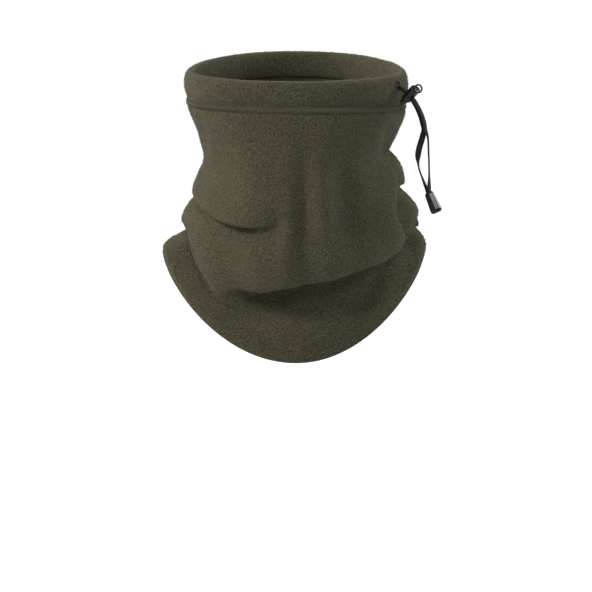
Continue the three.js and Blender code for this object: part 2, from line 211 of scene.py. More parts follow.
def makeFleeceMaterial():
    look = fleeceLook
    made = Finish("brushedFleece", look["light"], **{
        "Sheen Weight": 0.12, "Sheen Roughness": 0.5, "Sheen Tint": look["sheenTint"],
        "Specular IOR Level": 0.12,
    })
    place = made.place()
    tuft = made.noise(place, 1 / (look["tuft"] * mm), detail=3.0, roughness=0.6)
    fibre = made.noise(place, 1 / (look["fibre"] * mm), roughness=0.6)
    patch = made.noise(place, 1 / (look["patch"] * mm), detail=1.0)
    tuftsOverShadedGaps = made.ramp(tuft * 0.7 + fibre * 0.3, look["edges"])
    brushed = made.ramp(patch, [(0.35, 0.0), (0.65, 1.0)])
    # the gaps, where the bump below is low, get the dark colour as painted shade between the clumps of pile
    colour = made.mix(tuftsOverShadedGaps, look["dark"], look["light"])
    patchColour = mixColour(look["patchLight"], look["dark"], look["light"])
    colour = made.mix(brushed * look["patchShare"], colour, patchColour)
    height = tuft * 0.75 + fibre * 0.25
    return made.done(height, 1.0, look["bump"] * mm, Base_Color=colour, Roughness=0.98 - tuftsOverShadedGaps * 0.1)


def makePileMaterial():
    look = fleeceLook
    made = Finish("fleeceTips", look["tips"], **{"Specular IOR Level": 0.1, "Sheen Weight": 0.2})
    shade = made.noise(made.place(), 1 / (look["tuft"] * mm))
    # the fibres get the same painted shade where the tuft noise, and so the bump, is low
    colour = made.mix(made.ramp(shade, look["edges"]), look["dark"], look["tips"])
    return made.done(shade, 0.3, look["tipBump"] * mm, Base_Color=colour, Roughness=0.95 - shade * 0.1)


threadLook = {
    "middle": (0.05, 0.046, 0.028), "dark": (0.03, 0.0275, 0.017), "light": (0.075, 0.069, 0.044),
    "strands": 2600,  # to the metre
    "bump": 0.2,
}


def makeThreadMaterial():
    look = threadLook
    made = Finish("fleeceThread", look["middle"], **{"Specular IOR Level": 0.25})
    strands = made.noise(made.place(), look["strands"], detail=1.0)
    colour = made.mix(strands, look["dark"], look["light"])
    return made.done(strands, 0.6, look["bump"] * mm, Base_Color=colour, Roughness=0.7 + strands * 0.2)


cordLook = {
    "middle": (0.006, 0.006, 0.006), "dark": (0.003, 0.003, 0.003), "light": (0.013, 0.013, 0.013),
    "ribs": {"Scale": 7.0, "Distortion": 0.6, "Detail": 1.0, "Detail Scale": 3.0},
    "weave": {"Scale": 1.6, "Distortion": 0.8, "Detail": 1.0, "Detail Scale": 4.0},
    "lint": 2200,  # specks to the metre
    "bump": 0.25,
}


def makeCordMaterial():
    look = cordLook
    made = Finish("wovenElastic", look["middle"], **{"Specular IOR Level": 0.16})
    uv = made.node("ShaderNodeTexCoord", output="UV")
    bands = {"wave_type": "BANDS"}
    ribs, weave = (
        made.node("ShaderNodeTexWave", {**bands, "bands_direction": way}, {"Vector": uv, **look[key]})
        for way, key in (("X", "ribs"), ("Y", "weave"))
    )
    lint = made.noise(made.place(), look["lint"])
    woven = ribs * 0.6 + weave * 0.4
    colour = made.mix(woven * 0.6 + lint * 0.4, look["dark"], look["light"])
    return made.done(woven, 0.8, look["bump"] * mm, Base_Color=colour, Roughness=0.55 + lint * 0.3)


plasticLook = {
    "middle": (0.006, 0.006, 0.0065), "clean": (0.0025, 0.0025, 0.0028), "rubbed": (0.008, 0.008, 0.0085),
    "grain": 900, "rubs": 160,  # to the metre
    "polish": 0.16, "bump": 0.08,
}


def makePlasticMaterial():
    look = plasticLook
    made = Finish("blackAcetal", look["middle"], **{"Specular IOR Level": 0.2})
    place = made.place()
    grain = made.noise(place, look["grain"])
    rubs = made.noise(place, look["rubs"], detail=3.0, roughness=0.7)
    worn = made.ramp(rubs, [(0.5, 0.0), (0.72, 1.0)])
    colour = made.mix(worn * 0.5, look["clean"], look["rubbed"])
    roughness = look["polish"] + worn * 0.14
    return made.done(grain, 0.12, look["bump"] * mm, Base_Color=colour, Roughness=roughness)


steelLook = {
    "middle": (0.5, 0.51, 0.53), "dark": (0.42, 0.43, 0.45), "light": (0.6, 0.61, 0.63),
    "drawLines": 1800,  # to the metre
    "bump": 0.05,
}


def makeSteelMaterial():
    look = steelLook
    made = Finish("springSteel", look["middle"], Metallic=1.0)
    drawn = made.noise(made.place(), look["drawLines"])
    colour = made.mix(drawn, look["dark"], look["light"])
    return made.done(drawn, 0.1, look["bump"] * mm, Base_Color=colour, Roughness=0.22 + drawn * 0.2)


def makeMesh(name, points, faces, material, uv=None):
    data = bpy.data.meshes.new(name)
    data.from_pydata([tuple(p) for p in points], [], faces)
    data.validate()
    if uv is not None:
        layer = data.uv_layers.new(name="cloth")
        corners = np.zeros(len(data.loops), np.int32)
        data.loops.foreach_get("vertex_index", corners)
        layer.data.foreach_set("uv", np.asarray(uv, np.float32)[corners].ravel())
    data.polygons.foreach_set("use_smooth", [True] * len(data.polygons))
    data.materials.append(material)
    data.update()
    return addObject(name, data)


def gridFaces(rows, columns, closeRows=False, closeColumns=True, flip=False):
    faces = []
    for i in range(rows if closeRows else rows - 1):
        row, nextRow = i * columns, (i + 1) % rows * columns
        for j in range(columns if closeColumns else columns - 1):
            nextColumn = (j + 1) % columns
            face = (row + j, nextRow + j, nextRow + nextColumn, row + nextColumn)
            faces.append(face[::-1] if flip else face)
    return faces


def applyModifiers(piece):
    evaluated = piece.evaluated_get(bpy.context.evaluated_depsgraph_get())
    data = bpy.data.meshes.new_from_object(evaluated)
    piece.modifiers.clear()
    piece.data = data
    return piece


def smoothStep(x):
    x = np.clip(x, 0, 1)
    return x * x * (3 - 2 * x)


def splineRows(values, at):
    # Catmull-Rom through rows of values, at places that run from 0 to the last row
    values = np.asarray(values, float)
    at = np.clip(np.asarray(at, float), 0, len(values) - 1)
    low = np.minimum(np.floor(at).astype(int), len(values) - 2)
    t = (at - low)[:, None]
    p0 = values[np.maximum(low - 1, 0)]
    p1, p2 = values[low], values[low + 1]
    p3 = values[np.minimum(low + 2, len(values) - 1)]
    return p1 + 0.5 * t * (p2 - p0 + t * (2 * p0 - 5 * p1 + 4 * p2 - p3 + t * (3 * (p1 - p2) + p3 - p0)))


def bell(distance, width):
    return np.exp(-(distance / width) ** 2)


def unit(vectors):
    return vectors / np.maximum(np.linalg.norm(vectors, axis=-1, keepdims=True), 1e-9)


def squared(value, power):
    # bends a sine or cosine so that the round it draws gets flatter sides
    return math.copysign(abs(value) ** power, value)


def lengthsAlong(points):
    return np.r_[0, np.cumsum(np.linalg.norm(np.diff(points, axis=0), axis=1))]


def atLengths(values, lengths, where):
    return np.stack([np.interp(where, lengths, column) for column in values.T], axis=1)


def evenly(points, count):
    # the same line with its points at even steps
    lengths = lengthsAlong(points)
    return atLengths(points, lengths, np.linspace(0, lengths[-1], count))


def unevenness(points, values):
    start = Vector(values["start"])
    heights = [noise.noise(Vector(point) / values["across"] + start) for point in points.reshape(-1, 3)]
    return values["amount"] * np.reshape(heights, points.shape[:2])


# The tube's outline without its folds, as level rings from the seam down to the hem: how far each reaches
# left, right, front and back as seen from the front, the y at which it is widest, and its heights at those
# four sides.
drape = {
    "thickness": 2.4,
    "turnUp": 18,
    "edgeRadius": 2.7,
    "edgeSteps": 7,
    "columns": 288,
    "rows": 112,
    "seamRows": 18, "seamShare": 0.075,  # closer rows for the first few millimetres below the seam
    "tuck": ((2.6, 2.2), (0.7, 0.7)),  # how far in and up the rows behind the casing go
    "middleRadius": 82,  # where lengths round the tube are taken
    "stillAtSeam": (8, 14), "stillAtHem": (4, 16),  # where the folds start, and over what length they grow
    "softening": 12,  # how many times each point is drawn to its neighbours, which rounds the folds
    "sideBlend": 0.35,  # over how much of a quarter one side's heights pass into the next's
    "endPower": 1.57,  # how the heights pass from the sides to the front and back
    "rings": [
        # left, right, front, back, widestY, leftZ, rightZ, frontZ, backZ
        (82.0, 82.0, 86.6, 88.5, -25, -20.0, -23.0, -18.0, -20.0),
        (80.2, 81.5, 88.0, 87.0, -21, -31, -36, -31, -30),
        (73.5, 76.0, 90.0, 81.0, -15, -46, -47, -50, -42),
        (69.5, 71.0, 91.5, 81.0, -10, -61, -59, -72, -56),
        (70.5, 78.0, 91.0, 85.0, -8, -76, -72, -94, -70),
        (74.5, 79.5, 90.5, 81.0, -8, -90, -86, -114, -86),
        (81.0, 88.5, 89.5, 88.0, -8, -102, -99, -132, -102),
        (84.0, 92.0, 87.0, 92.0, -8, -112, -110, -149, -118),
        (85.0, 89.0, 84.0, 86.0, -9, -119, -118, -165, -132),
        (95.0, 95.5, 82.0, 90.0, -11, -127, -126, -182, -144),
        (99.8, 98.0, 81.0, 92.0, -12, -134, -133, -197, -156),
        (100.5, 97.5, 81.0, 90.0, -12, -140.5, -139, -210.5, -168),
    ],
}

# Each fold is a line on the tube, as (angle, height, how strong) points. Walking along it, the cloth on the
# left hangs over the cloth on the right. over and under are how far each side stands out and in, overUpTo and
# underDownTo how far from the line that reaches, width the width of the turn, and overlap how far it doubles.
folds = {
    "ringCrease": {  # from the front left, round the left, the back and the right
        "line": [
            (-98, -108, 0), (-110, -109.5, 0.7), (-122, -109, 1), (-136, -107, 1), (-153, -101, 1),
            (-168, -95, 1), (-190, -90, 1), (-225, -88, 1), (-270, -86, 1), (-315, -86, 1), (-345, -87, 1),
            (-362, -88, 0.8), (-371, -89, 0),
        ],
        "over": 4.0, "under": 5.0, "overUpTo": 8, "underDownTo": 8, "width": 8, "overlap": 2.2,
        "turned": True,
    },
    "waistCrease": {
        "line": [
            (-20, -61, 0), (-8, -60, 0.9), (10, -59, 1), (40, -54, 1), (90, -51, 1), (140, -54, 0.9),
            (170, -60, 0.5), (195, -64, 0),
        ],
        "over": 2.2, "under": 3.4, "overUpTo": 8, "underDownTo": 7, "width": 6.5, "overlap": 1.9,
    },
    "shoulderCrease": {
        "line": [
            (-10, -121, 0), (2, -120, 0.35), (20, -121, 0.8), (55, -124, 1), (90, -128, 1), (125, -124, 1),
            (160, -118, 1), (178, -116, 0.9), (192, -119, 0.8), (206, -133, 1), (221, -150, 0.95),
            (232, -166, 0.6), (243, -177, 0.5), (252, -183, 0.4), (262, -190, 0.25), (270, -193, 0),
        ],
        "over": 3.8, "under": 5.5, "overUpTo": 9, "underDownTo": 9, "width": 8, "overlap": 2.2,
    },
    "bibHollow": {  # the bib sinks behind the edge of the roll above it
        "line": [
            (198, -124, 0), (208, -135, 1), (221, -150, 1), (232, -166, 1), (243, -177, 0.8),
            (252, -183, 0.5), (264, -190, 0),
        ],
        "over": 1.5, "under": 6.5, "overUpTo": 9, "underDownTo": 11, "width": 0.5, "overlap": 0,
    },
    "rollHollow": {  # the roll behind the front panel's right edge
        "line": [
            (-27, -126, 0), (-30, -113, 1), (-27, -101, 1), (-21, -91, 1), (-18, -81, 0.7), (-20, -70, 0.4),
            (-26, -58, 0),
        ],
        "over": 2.5, "under": 6, "overUpTo": 7, "underDownTo": 7, "width": 0.5, "overlap": 0,
    },
    "bibRidge": {  # a soft ridge that runs down across the bib from the right
        "line": [(-26, -131, 0), (-36, -142, 0.8), (-46, -158, 1), (-55, -170, 0.9), (-63, -180, 0)],
        "over": 6, "under": -1, "overUpTo": 8, "underDownTo": 8, "width": 0.5, "overlap": 0,
        "turned": True,
    },
    "bigLip": {
        "line": [
            (-128, -158, 0), (-119, -157, 0.5), (-110, -155, 0.95), (-97, -150.5, 1), (-73, -145.5, 0.85),
            (-56, -141, 0.7), (-38, -134, 0.6), (-24, -125, 0.5), (-12, -118, 0),
        ],
        "over": 5.5, "under": 18, "overUpTo": 12, "underDownTo": 15, "width": 10, "overlap": 2.8,
    },
    "rightPanel": {
        "line": [
            (-27, -128, 0), (-28, -118, 0.9), (-33, -108, 1), (-24, -95, 1), (-16, -84, 0.8),
            (-20, -72, 0.7), (-25, -64, 0.6), (-29, -56, 0.5), (-34, -42, 0.35), (-38, -32, 0),
        ],
        "over": 2.6, "under": 4.5, "overUpTo": 8, "underDownTo": 8, "width": 7, "overlap": 1.5,
    },
    "rightBib": {
        "line": [
            (-66, -184, 0), (-60, -177, 0.5), (-50, -163, 0.9), (-38, -144, 1), (-29, -131, 1),
            (-20, -124, 0),
        ],
        "over": 4.5, "under": 4.5, "overUpTo": 8, "underDownTo": 9, "width": 8, "overlap": 1.1,
        "turned": True,
    },
    "leftFlap": {
        "line": [(-145, -28, 0), (-149, -38, 0.8), (-154, -50, 0.9), (-161, -62, 0.5), (-166, -70, 0)],
        "over": 1.6, "under": 2.0, "overUpTo": 7, "underDownTo": 7, "width": 7, "overlap": 0.9,
    },
}

# Soft swells and hollows where the cloth bears on the nose and chin.
swells = [
    # angle, height, how far out, half width in degrees, half height
    (-75, -100, 6.0, 5, 42),
    (-85, -96, -5.5, 4.5, 42),
    (-95, -118, 4.6, 5.5, 26),
    (-101, -109, -5.0, 6, 9),
    (-60, -97, -4.4, 6, 38),
    (-120, -75, 1.5, 12, 30),
    (-112, -133, 2.2, 14, 16),
]

coverstitch = {
    "first": 1.2, "spacing": 4.6, "pitch": 2.15,
    "sink": 0.8, "groove": 0.9,  # how deep and how wide each needle line pulls into the cloth
    "needle": (0.5, 0.55, 2.0), "needleLift": 0.12, "dip": 0.08,
    "looper": (1.0, 0.72, 4.4), "looperLift": 0.3, "slants": (0.34, -0.1),
}

rough = {"amount": 1.6, "across": 34, "start": (7.3, 0, 0)}  # the small unevenness of cloth that was worn


def columnAngles(count):
    return np.radians(np.arange(count) * 360 / count + frontAngle)


def drapeRing(down, angles):
    # the outline at places down the tube (0 to 1) and angles: an array of points, down by round
    rings = splineRows(drape["rings"], np.asarray(down) * (len(drape["rings"]) - 1))
    left, right, front, back, widestY, leftZ, rightZ, frontZ, backZ = rings.T[:, :, None]
    cos, sin = np.cos(angles)[None, :], np.sin(angles)[None, :]
    blend = drape["sideBlend"]
    toRight = smoothStep((cos + blend) / (2 * blend))
    toBack = smoothStep((sin + blend) / (2 * blend))
    x = np.where(cos > 0, right, left) * cos
    y = widestY + np.where(sin > 0, back - widestY, front + widestY) * sin
    sideZ = leftZ + (rightZ - leftZ) * toRight
    endZ = frontZ + (backZ - frontZ) * toBack
    z = sideZ + (endZ - sideZ) * np.abs(sin) ** drape["endPower"]
    return np.stack([x, y, z], axis=2)


def gridDirections(points):
    # unit vectors round, down and out of the cloth at every point of a grid that is closed round
    around = np.roll(points, -1, axis=1) - np.roll(points, 1, axis=1)
    down = np.gradient(points, axis=0)
    return unit(around), unit(down), unit(np.cross(down, around))


def alongFold(fold, angles, heights):
    # for every point of the grid, its distance to the fold's line (positive on the side that is under) and
    # how strong the fold is there
    radius = drape["middleRadius"]
    line = np.array(fold["line"], float)
    line[:, 0] = np.radians(line[:, 0]) * radius
    line = splineRows(line, np.linspace(0, len(line) - 1, 12 * len(line)))
    best = np.full(angles.shape, 1e9)
    side = np.zeros(angles.shape)
    strength = np.zeros(angles.shape)
    for turn in (-2, -1, 0, 1):  # a line's angles may run on past a full turn
        px = (angles + turn * 2 * math.pi) * radius
        for start, end in zip(line[:-1], line[1:]):
            along = end[:2] - start[:2]
            length = max(float(along @ along), 1e-9)
            t = np.clip(((px - start[0]) * along[0] + (heights - start[1]) * along[1]) / length, 0, 1)
            dx = px - start[0] - along[0] * t
            dz = heights - start[1] - along[1] * t
            distance = np.hypot(dx, dz)
            nearer = distance < best
            best = np.where(nearer, distance, best)
            cross = along[0] * dz - along[1] * dx
            side = np.where(nearer, np.sign(cross), side)
            strength = np.where(nearer, start[2] + (end[2] - start[2]) * t, strength)
    under = side if fold.get("turned") else -side
    return best * under, np.clip(strength, 0, 1)


def foldNormal(distance, heights):
    # the way across a fold on the surface, from the side that hangs over to the side that is under
    steepest = 1.5
    step = 2 * math.pi * drape["middleRadius"] / distance.shape[1]
    across = (np.roll(distance, -1, axis=1) - np.roll(distance, 1, axis=1)) / (2 * step)
    drop = -np.gradient(heights, axis=0)
    down = np.gradient(distance, axis=0) / np.maximum(drop, 0.05)
    across = np.clip(across, -steepest, steepest)
    down = np.clip(down, -steepest, steepest)
    size = np.maximum(np.hypot(across, down), 1e-6)
    return across / size, down / size


def neighbourMean(points):
    mean = points.copy()
    mean[1:-1] = (points[2:] + points[:-2]) / 2
    return (mean + (np.roll(points, 1, axis=1) + np.roll(points, -1, axis=1)) / 2) / 2


def hump(distance, reach):
    # rises from 0 to 1 at its reach and dies away
    x = np.maximum(distance, 0) / reach
    return x * np.exp(0.5 - 0.5 * x * x)


def drapedFleece():
    angles = columnAngles(drape["columns"])
    seam = drape["seamShare"]
    down = np.r_[np.linspace(0, seam, drape["seamRows"], endpoint=False), np.linspace(seam, 1, drape["rows"])]
    base = drapeRing(down, angles)
    around, downward, out = gridDirections(base)
    heights = base[:, :, 2]
    spread = np.broadcast_to(angles, heights.shape)
    shift = np.zeros_like(base)
    belowSeam = base[0:1, :, 2] - heights
    aboveHem = heights - base[-1:, :, 2]
    (seamStart, seamOver), (hemStart, hemOver) = drape["stillAtSeam"], drape["stillAtHem"]
    free = smoothStep((belowSeam - seamStart) / seamOver) * smoothStep((aboveHem - hemStart) / hemOver)
    placed = [(fold, *alongFold(fold, spread, heights)) for fold in folds.values()]
    crowd = sum(strength * bell(distance, fold["width"]) for fold, distance, strength in placed)
    for fold, distance, strength in placed:
        strength = strength * free / np.maximum(crowd, 1)
        lift = fold["over"] * hump(-distance, fold["overUpTo"])
        lift -= fold["under"] * hump(distance, fold["underDownTo"])
        slide = -fold["overlap"] * distance * bell(distance, fold["width"])
        across, below = foldNormal(distance, heights)
        shift += out * (lift * strength)[:, :, None]
        shift += around * (slide * across * strength)[:, :, None]
        shift += downward * (slide * below * strength)[:, :, None]
    for angle, height, amount, halfWidth, halfHeight in swells:
        turn = (np.degrees(spread) - angle + 180) % 360 - 180
        shift += out * (amount * bell(turn, halfWidth) * bell(heights - height, halfHeight))[:, :, None]
    shift += out * (unevenness(base, rough) * free)[:, :, None]
    for line in (coverstitch["first"], coverstitch["first"] + coverstitch["spacing"]):
        shift -= out * (coverstitch["sink"] * bell(belowSeam - line, coverstitch["groove"]))[:, :, None]
    points = base + shift
    for _ in range(drape["softening"]):
        points += 0.5 * (neighbourMean(points) - points) * np.clip(free * 3, 0, 1)[:, :, None]
    return points


def hemAndTurnUp(points):
    # the cloth turns round its bottom edge and runs up inside
    _, down, out = gridDirections(points)
    radius = drape["edgeRadius"]
    turned = []
    for turn in np.linspace(0, math.pi, drape["edgeSteps"] + 1)[1:]:
        inward, onward = radius * (1 - math.cos(turn)), radius * math.sin(turn)
        turned.append(points[-1] - out[-1] * inward + down[-1] * onward)
    spacing = np.linalg.norm(points[-1] - points[-2], axis=1).mean()
    for k in range(1, int(drape["turnUp"] / spacing) + 1):
        turned.append(points[-1 - k] - out[-1 - k] * 2 * radius)
    return np.concatenate([points, np.array(turned)])


def tuckUnderCasing(points):
    # two more rows at the top, up behind the casing
    _, down, out = gridDirections(points)
    rows = [points[0] - out[0] * inward - down[0] * upward for inward, upward in drape["tuck"]]
    return np.concatenate([np.array(rows), points])


def makeFleeceBody(fleece):
    surface = drapedFleece()
    whole = hemAndTurnUp(tuckUnderCasing(surface)) * mm
    rows, columns = whole.shape[:2]
    piece = makeMesh("fleeceBody", whole.reshape(-1, 3), gridFaces(rows, columns), fleece)
    wall = piece.modifiers.new("wall", "SOLIDIFY")
    wall.thickness = drape["thickness"] * mm
    wall.offset = -1
    applyModifiers(piece)
    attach(piece, "gaiter")
    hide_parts("fleece_body", "hem_turn_up")
    return surface


casing = {
    "reachX": 83.5, "front": 88, "back": 90, "widestY": -25, "thickness": 9, "height": 20, "sides": 36,
    "flatness": 0.72, "frontRise": 2, "rightDrop": 3.2,  # right as seen from the front
    "slitAngle": -24, "slitAt": -8, "slitWidth": 5, "slitHeight": 7, "slitDepth": 6,
    "gathers": 0.66, "gatherPitch": 9, "gatherReach": 26,  # soft puckers where the cord bunches the cloth
    "meanRadius": 80,
}
casingRough = {"amount": 1.1, "across": 26, "start": (0, 3.1, 0)}


def seamDepth(angles):
    front = np.maximum(0, -np.sin(angles))
    right = np.maximum(0, np.cos(angles))
    return casing["height"] - casing["frontRise"] * front ** 2 + casing["rightDrop"] * right ** 2


def openingPoints(angles):
    sin = np.sin(angles)
    reachY = np.where(sin > 0, casing["back"] - casing["widestY"], casing["front"] + casing["widestY"])
    return np.stack([casing["reachX"] * np.cos(angles), casing["widestY"] + reachY * sin], axis=-1)


def openingPlan(angles):
    # the rim seen from above, all the way round, and its outward directions
    plan = openingPoints(angles)
    ahead = np.roll(plan, -1, axis=0) - np.roll(plan, 1, axis=0)
    return plan, unit(np.stack([ahead[:, 1], -ahead[:, 0]], axis=-1))


def fromTassel(out, up, side=0.0):
    # a point from its place on the upright plane that the tassel hangs in
    angle = math.radians(casing["slitAngle"])
    reachY = casing["front"] + casing["widestY"]
    along = unit(np.array([-casing["reachX"] * math.sin(angle), reachY * math.cos(angle)]))
    place = openingPoints(angle) + np.array([along[1], -along[0]]) * out + along * side
    return np.array([place[0], place[1], up])


def tasselWay(out, up, side=0.0):
    return fromTassel(out, up, side) - fromTassel(0, 0)


def makeCasing(fleece):
    angles = columnAngles(drape["columns"])
    plan, out = openingPlan(angles)
    depth = seamDepth(angles)
    rows = []
    for k in range(casing["sides"]):
        turn = 2 * math.pi * k / casing["sides"]
        inward = casing["thickness"] / 2 * (squared(math.cos(turn), casing["flatness"]) - 1)
        rows.append(np.column_stack([plan + out * inward, depth / 2 * (math.sin(turn) - 1)]))
    points = np.array(rows)
    offSlit = np.abs((np.degrees(angles) - casing["slitAngle"] + 180) % 360 - 180)
    fromSlit = np.radians(offSlit) * casing["meanRadius"]
    pucker = casing["gathers"] * bell(fromSlit, casing["gatherReach"])
    pucker *= np.cos(2 * math.pi * fromSlit / casing["gatherPitch"])
    points[:, :, :2] += out[None] * (pucker * np.abs(points[:, :, 2] / depth))[:, :, None]
    points[:, :, :2] += out[None] * unevenness(points, casingRough)[:, :, None]
    faces = gridFaces(len(rows), len(angles), closeRows=True, flip=True)
    piece = makeMesh("drawcordCasing", (points * mm).reshape(-1, 3), faces, fleece)
    cutSlit(piece)
    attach(piece, "gaiter")
    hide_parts("drawcord_casing")
    return points


def cutSlit(piece):
    # the hole the drawcord comes out of
    rings, sides = 13, 24
    points = []
    for i in range(rings):
        up = math.pi * (i + 0.5) / rings
        for j in range(sides):
            turn = 2 * math.pi * j / sides
            points.append(fromTassel(
                casing["slitDepth"] * math.sin(up) * math.cos(turn),
                casing["slitAt"] + casing["slitHeight"] / 2 * math.cos(up),
                casing["slitWidth"] / 2 * math.sin(up) * math.sin(turn),
            ) * mm)
    ends = [tuple(range(sides)), tuple(range(rings * sides - 1, (rings - 1) * sides - 1, -1))]
    cutter = makeMesh("slitCutter", points, gridFaces(rings, sides) + ends, piece.data.materials[0])
    cut = piece.modifiers.new("slit", "BOOLEAN")
    cut.object = cutter
    applyModifiers(piece)
    bpy.data.objects.remove(cutter)


def makeSewing():
    # scatters a small spindle on every point, lying along one attribute and standing out along another
    group = bpy.data.node_groups.new("sewing", "GeometryNodeTree")
    sockets = [
        ("Geometry", "NodeSocketGeometry"), ("Size", "NodeSocketVector"), ("Sides", "NodeSocketInt"),
        ("Rings", "NodeSocketInt"), ("Uneven", "NodeSocketFloat"), ("Seed", "NodeSocketInt"),
        ("Material", "NodeSocketMaterial"),
    ]
    for name, kind in sockets:
        group.interface.new_socket(name, in_out="INPUT", socket_type=kind)
    group.interface.new_socket("Geometry", in_out="OUTPUT", socket_type="NodeSocketGeometry")
    given = group.nodes.new("NodeGroupInput")
    nodes, links = group.nodes, group.links

    def node(kind, inputs, output=0, **settings):
        made = nodes.new(kind)
        for key, value in settings.items():
            setattr(made, key, value)
        for key, value in inputs.items():
            if isinstance(value, bpy.types.NodeSocket):
                links.new(value, made.inputs[key])
            else:
                made.inputs[key].default_value = value
        return made.outputs[output]

    spindle = node("GeometryNodeMeshUVSphere", {
        "Segments": given.outputs["Sides"], "Rings": given.outputs["Rings"], "Radius": 0.5,
    })
    along = node("GeometryNodeInputNamedAttribute", {"Name": "along"}, data_type="FLOAT_VECTOR")
    outward = node("GeometryNodeInputNamedAttribute", {"Name": "outward"}, data_type="FLOAT_VECTOR")
    turn = node("FunctionNodeAxesToRotation", {0: along, 1: outward}, primary_axis="Z", secondary_axis="X")
    least = node("ShaderNodeMath", {0: 1.0, 1: given.outputs["Uneven"]}, operation="SUBTRACT")
    most = node("ShaderNodeMath", {0: 1.0, 1: given.outputs["Uneven"]}, operation="ADD")
    limits = {2: least, 3: most, "Seed": given.outputs["Seed"]}
    share = node("FunctionNodeRandomValue", limits, 1, data_type="FLOAT")
    size = node("ShaderNodeVectorMath", {0: given.outputs["Size"], "Scale": share}, operation="SCALE")
    placed = node("GeometryNodeInstanceOnPoints", {
        "Points": given.outputs["Geometry"], "Instance": spindle, "Rotation": turn, "Scale": size,
    })
    real = node("GeometryNodeRealizeInstances", {"Geometry": placed})
    finished = node("GeometryNodeSetMaterial", {"Geometry": real, "Material": given.outputs["Material"]})
    result = nodes.new("NodeGroupOutput")
    links.new(finished, result.inputs[0])
    return group


def sew(name, group, places, along, outward, size, material, uneven=0.12, sides=6, rings=4, seed=3):
    # size is how thick, how wide and how long each stitch is, in millimetres
    data = bpy.data.meshes.new(name)
    data.from_pydata([tuple(p) for p in np.asarray(places) * mm], [], [])
    for attribute, values in (("along", along), ("outward", outward)):
        layer = data.attributes.new(attribute, "FLOAT_VECTOR", "POINT")
        layer.data.foreach_set("vector", np.asarray(values, np.float32).ravel())
    piece = addObject(name, data)
    scatter = piece.modifiers.new("sewing", "NODES")
    scatter.node_group = group
    values = {
        "Size": [s * mm for s in size], "Sides": sides, "Rings": rings, "Uneven": uneven, "Seed": seed,
        "Material": material,
    }
    for item in group.interface.items_tree:
        if item.in_out == "INPUT" and item.name in values:
            scatter[item.identifier] = values[item.name]
    applyModifiers(piece)
    piece.data.polygons.foreach_set("use_smooth", [True] * len(piece.data.polygons))
    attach(piece, "gaiter")
    return piece


def finishStitches(piece, node):
    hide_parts(node)


def lineOnCloth(surface, depth, fromHem=False):
    # a level line's points and outward directions, so far down from the cloth's top or up from its hem
    out = gridDirections(surface)[2]
    rows, outs = (surface[::-1], out[::-1]) if fromHem else (surface, out)
    line = []
    for column, ways in zip(rows.swapaxes(0, 1), outs.swapaxes(0, 1)):
        lengths = lengthsAlong(column)
        line.append([atLengths(values, lengths, [depth])[0] for values in (column, ways)])
    return np.array(line).swapaxes(0, 1)


def walk(line, pitch, closed=True):
    # places at even steps on a line of points with outward directions, and the way ahead at each
    points, outs = (np.vstack([part, part[:1]]) if closed else part for part in line)
    lengths = lengthsAlong(points)
    at = np.linspace(0, lengths[-1], int(lengths[-1] / pitch) + 1)[:-1 if closed else None]
    reach = 0.8  # how far on either side of a place its way ahead is judged
    ahead = atLengths(points, lengths, np.minimum(at + reach, lengths[-1]))
    ahead -= atLengths(points, lengths, np.maximum(at - reach, 0))
    return atLengths(points, lengths, at), unit(ahead), unit(atLengths(outs, lengths, at))


def makeCoverstitch(surface, group, thread):
    stitch = coverstitch
    first, second = stitch["first"], stitch["first"] + stitch["spacing"]
    for name, node, depth in (
        ("upperNeedleThread", "needle_thread_upper", first),
        ("lowerNeedleThread", "needle_thread_lower", second),
    ):
        places, ahead, outward = walk(lineOnCloth(surface, depth), stitch["pitch"])
        along = ahead + np.cross(ahead, outward) * stitch["dip"]
        places += outward * stitch["needleLift"]
        finishStitches(sew(name, group, places, along, outward, stitch["needle"], thread), node)
    places, ahead, outward = walk(lineOnCloth(surface, (first + second) / 2), stitch["pitch"] / 2)
    slant = np.where(np.arange(len(places)) % 2, *stitch["slants"])[:, None]
    across = np.cross(outward, ahead) + ahead * slant
    places += outward * stitch["looperLift"]
    ladder = sew("looperThread", group, places, across, outward, stitch["looper"], thread)
    finishStitches(ladder, "looper_thread")


sideSeam = {
    "angle": 18, "rowsLeft": 16, "width": 3.2, "pitch": 2.0, "lean": 0.25, "thread": 0.6,
    "lift": 0.15, "edgeLift": 0.2,
}


def makeSideSeam(surface, group, thread):
    column = int(round((sideSeam["angle"] - frontAngle) / 360 * surface.shape[1])) % surface.shape[1]
    out = gridDirections(surface)[2]
    rows = slice(drape["seamRows"], -sideSeam["rowsLeft"])
    line = np.array([surface[rows, column], out[rows, column]])
    places, down, outward = walk(line, sideSeam["pitch"], closed=False)
    across = np.cross(down, outward)
    lean = np.where(np.arange(len(places)) % 2, sideSeam["lean"], -sideSeam["lean"])[:, None]
    parts = [(places + outward * sideSeam["lift"], across + down * lean, outward)]
    for edge in (-sideSeam["width"] / 2, sideSeam["width"] / 2):
        parts.append((places + outward * sideSeam["edgeLift"] + across * edge, down, outward))
    joined = [np.vstack([part[k] for part in parts]) for k in range(3)]
    size = (sideSeam["thread"], sideSeam["thread"], sideSeam["width"] * 0.9)
    finishStitches(sew("sideSeamThread", group, *joined, size, thread), "side_seam_thread")


hemStitch = {"fromEdge": 1.5, "pitch": 3.4, "lift": 0.1, "slant": 0.5, "size": (0.5, 0.6, 2.7)}


def makeHemThread(surface, group, thread):
    line = lineOnCloth(surface, drape["turnUp"] - hemStitch["fromEdge"], fromHem=True)
    places, ahead, outward = walk(line, hemStitch["pitch"])
    inside = places - outward * (2 * drape["edgeRadius"] + hemStitch["lift"])
    along = ahead + np.cross(outward, ahead) * hemStitch["slant"]
    finishStitches(sew("hemThread", group, inside, along, -outward, hemStitch["size"], thread), "hem_thread")


